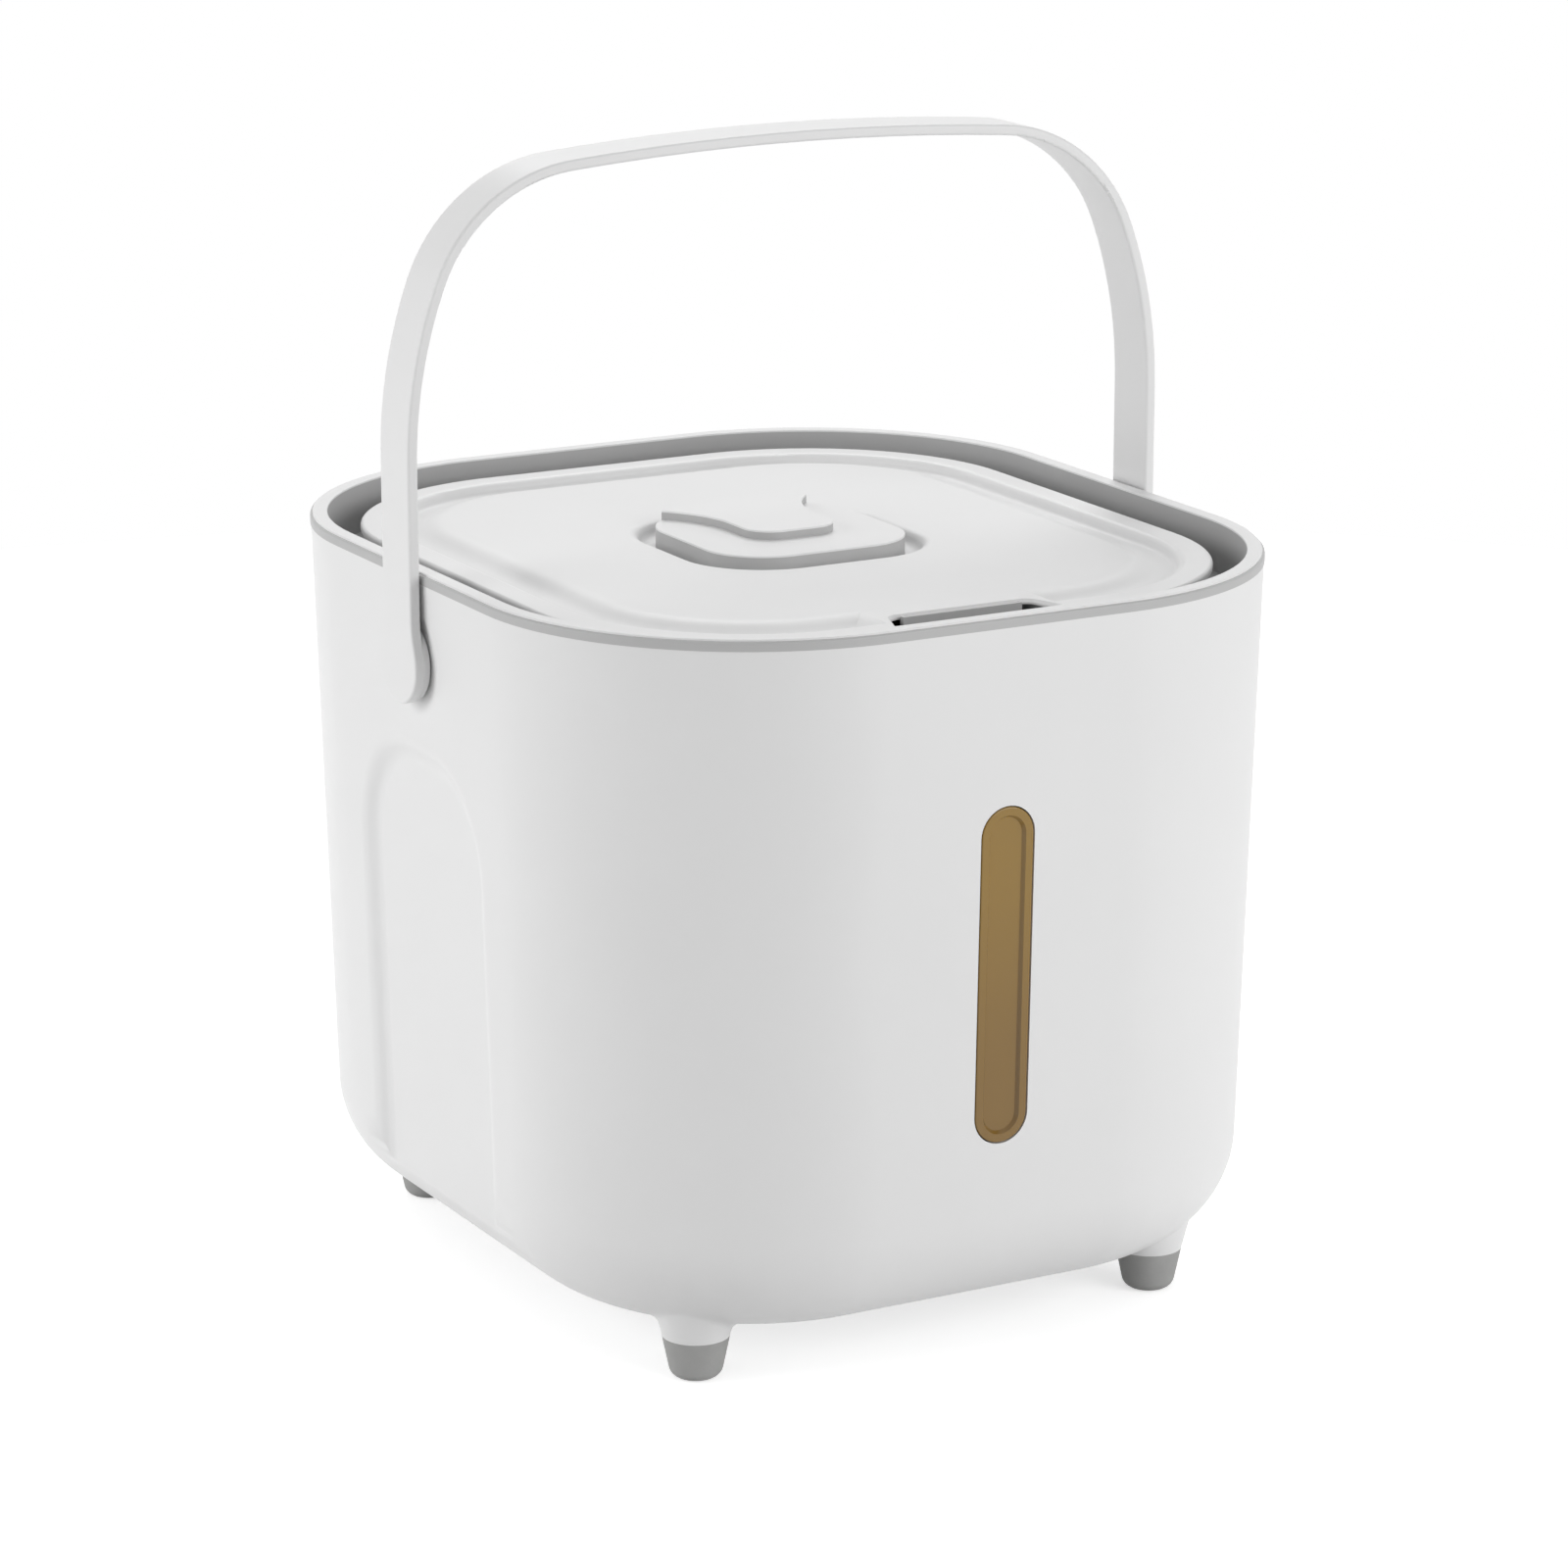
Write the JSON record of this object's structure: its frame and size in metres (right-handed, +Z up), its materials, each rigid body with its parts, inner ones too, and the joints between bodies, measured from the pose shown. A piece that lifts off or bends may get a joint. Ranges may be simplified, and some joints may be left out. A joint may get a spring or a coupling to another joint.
{
  "type": "rice storage bucket",
  "caption": "Rounded white grain bucket on short feet with a grey rim collar, lift-off lid with a lift-out repellent cup cover, amber level window and swinging bail handle.",
  "frame": {"origin": "on the floor, under the middle of the bucket, at the level of the foot pads' bottoms", "axes": "+Z up; -Y out of the front, the side with the level window and the lid's finger notch; +X to the right seen from the front, along the handle's pivot axis"},
  "size_m": [0.2666, 0.2854, 0.364],
  "materials": {
    "white_plastic": "fine satin moulding",
    "grey_plastic": "fine satin moulding",
    "amber_lens": "polished, smoky amber",
    "seal_rubber": "soft silicone",
    "foot_rubber": "matte rubber",
    "bush_plastic": "smooth moulding",
    "steel": "plated"
  },
  "bodies": {
    "base": {"outer_shell": "white_plastic", "rim_collar": "grey_plastic", "rim_ring": "white_plastic", "window_lens": "amber_lens", "window_gasket": "seal_rubber", "window_retainer": "grey_plastic", "window_screws": "steel", "pivot_bush_right": "bush_plastic", "pivot_bush_left": "bush_plastic", "foot_pad_front_left": "foot_rubber", "foot_pad_front_right": "foot_rubber", "foot_pad_rear_left": "foot_rubber", "foot_pad_rear_right": "foot_rubber"},
    "bail": {"handle": "white_plastic", "pivot_clip_right": "steel", "pivot_clip_left": "steel"},
    "lid": {"lid_cover": "white_plastic", "lid_base": "grey_plastic", "lid_gasket": "seal_rubber", "lid_screws": "steel", "repellent_cup": "white_plastic"},
    "cup_cover": {"repellent_cover": "grey_plastic", "cover_face": "white_plastic", "tongue_face": "white_plastic", "cover_seal": "seal_rubber"}
  },
  "joints": [
    {"name": "handle_swing", "type": "hinge", "parent": "base", "child": "bail", "pos_m": [0, 0, 0.20954], "axis": [1, 0, 0], "range_deg": [-100, 100]},
    {"name": "lid_lift", "type": "slide", "parent": "base", "child": "lid", "axis": [0, 0, 1], "range_m": [0, 0.09]},
    {"name": "cover_lift", "type": "slide", "parent": "lid", "child": "cup_cover", "axis": [0, 0, 1], "range_m": [0, 0.02]}
  ]
}
